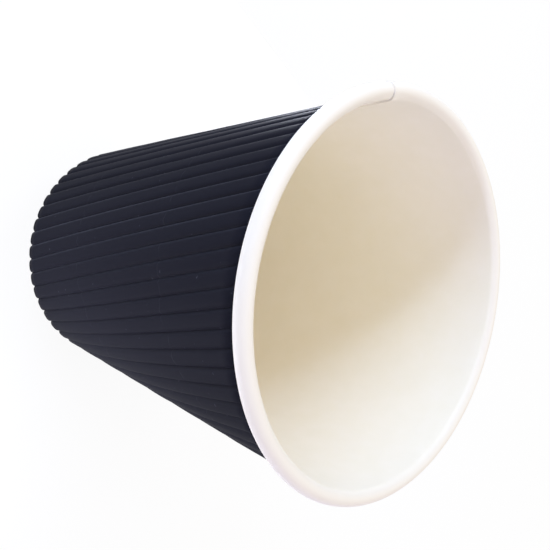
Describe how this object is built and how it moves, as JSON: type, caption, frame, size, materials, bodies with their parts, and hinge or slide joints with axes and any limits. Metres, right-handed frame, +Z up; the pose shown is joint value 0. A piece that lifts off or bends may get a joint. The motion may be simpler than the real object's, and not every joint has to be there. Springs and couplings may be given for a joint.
{
  "type": "ripple paper cup",
  "caption": "Tapered paper drinking cup with a rolled rim, a recessed base and a corrugated paper sleeve glued round the wall to keep the heat from the hand.",
  "frame": {"origin": "centre of the foot on the table", "axes": "+Z up along the cup's axis to the mouth; -Y faces the side that the picture shows; the sleeve's glued lap is at +X"},
  "size_m": [0.08, 0.08, 0.09],
  "materials": {
    "coated_paper": "white cup board with a thin coating inside",
    "ripple_paper": "matt navy-black corrugated paper"
  },
  "bodies": {
    "root": {"cup_wall": "coated_paper", "base_disc": "coated_paper", "ripple_sleeve": "ripple_paper"}
  },
  "joints": []
}
